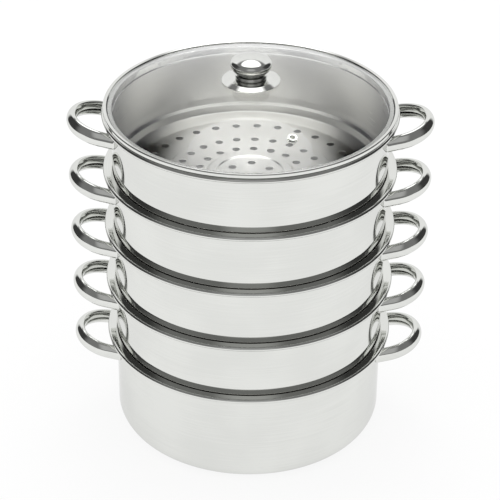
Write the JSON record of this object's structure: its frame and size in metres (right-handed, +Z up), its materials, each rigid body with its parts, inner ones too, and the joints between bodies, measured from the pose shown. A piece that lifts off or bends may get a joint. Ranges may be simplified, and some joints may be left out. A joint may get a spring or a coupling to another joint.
{
  "type": "stacked steamer pot",
  "caption": "Stacked steel steamer: a stock pot, nesting tiers with perforated floors, loop handles on each, and a domed glass lid with a steel band and a round knob.",
  "frame": {"origin": "middle of the pot's flat base, on the surface that it stands on", "axes": "+Z up along the vessels' common axis; the handles lie along X; Y runs from front to back, with the lid's vent towards -Y"},
  "size_m": [0.3724, 0.3, 0.4228],
  "materials": {
    "vessel_steel": "polished outside, satin inside",
    "handle_steel": "polished",
    "band_steel": "polished",
    "knob_steel": "mirror polished",
    "fastener_steel": "bright",
    "seal": "translucent silicone",
    "lid_glass": "clear tempered glass"
  },
  "bodies": {
    "pot": {"stock_pot": "vessel_steel", "pot_handle_left": "handle_steel", "pot_handle_right": "handle_steel"},
    "tier_1": {"steamer_tier_1": "vessel_steel", "tier_1_handle_left": "handle_steel", "tier_1_handle_right": "handle_steel"},
    "tier_2": {"steamer_tier_2": "vessel_steel", "tier_2_handle_left": "handle_steel", "tier_2_handle_right": "handle_steel"},
    "tier_3": {"steamer_tier_3": "vessel_steel", "tier_3_handle_left": "handle_steel", "tier_3_handle_right": "handle_steel"},
    "tier_4": {"steamer_tier_4": "vessel_steel", "tier_4_handle_left": "handle_steel", "tier_4_handle_right": "handle_steel"},
    "lid": {"lid_glass": "lid_glass", "lid_rim_band": "band_steel", "lid_vent_eyelet": "fastener_steel", "knob_upper_seal": "seal", "knob_lower_seal": "seal", "knob_washer": "fastener_steel", "knob_base_plate": "knob_steel", "knob_collar": "knob_steel", "knob_insert": "fastener_steel", "knob_screw": "fastener_steel", "knob": "knob_steel"}
  },
  "joints": [
    {"name": "tier_1_lift", "type": "slide", "parent": "pot", "child": "tier_1", "axis": [0, 0, 1], "range_m": [0, 0.08]},
    {"name": "tier_2_lift", "type": "slide", "parent": "tier_1", "child": "tier_2", "axis": [0, 0, 1], "range_m": [0, 0.08]},
    {"name": "tier_3_lift", "type": "slide", "parent": "tier_2", "child": "tier_3", "axis": [0, 0, 1], "range_m": [0, 0.08]},
    {"name": "tier_4_lift", "type": "slide", "parent": "tier_3", "child": "tier_4", "axis": [0, 0, 1], "range_m": [0, 0.08]},
    {"name": "lid_lift", "type": "slide", "parent": "tier_4", "child": "lid", "axis": [0, 0, 1], "range_m": [0, 0.1]}
  ]
}
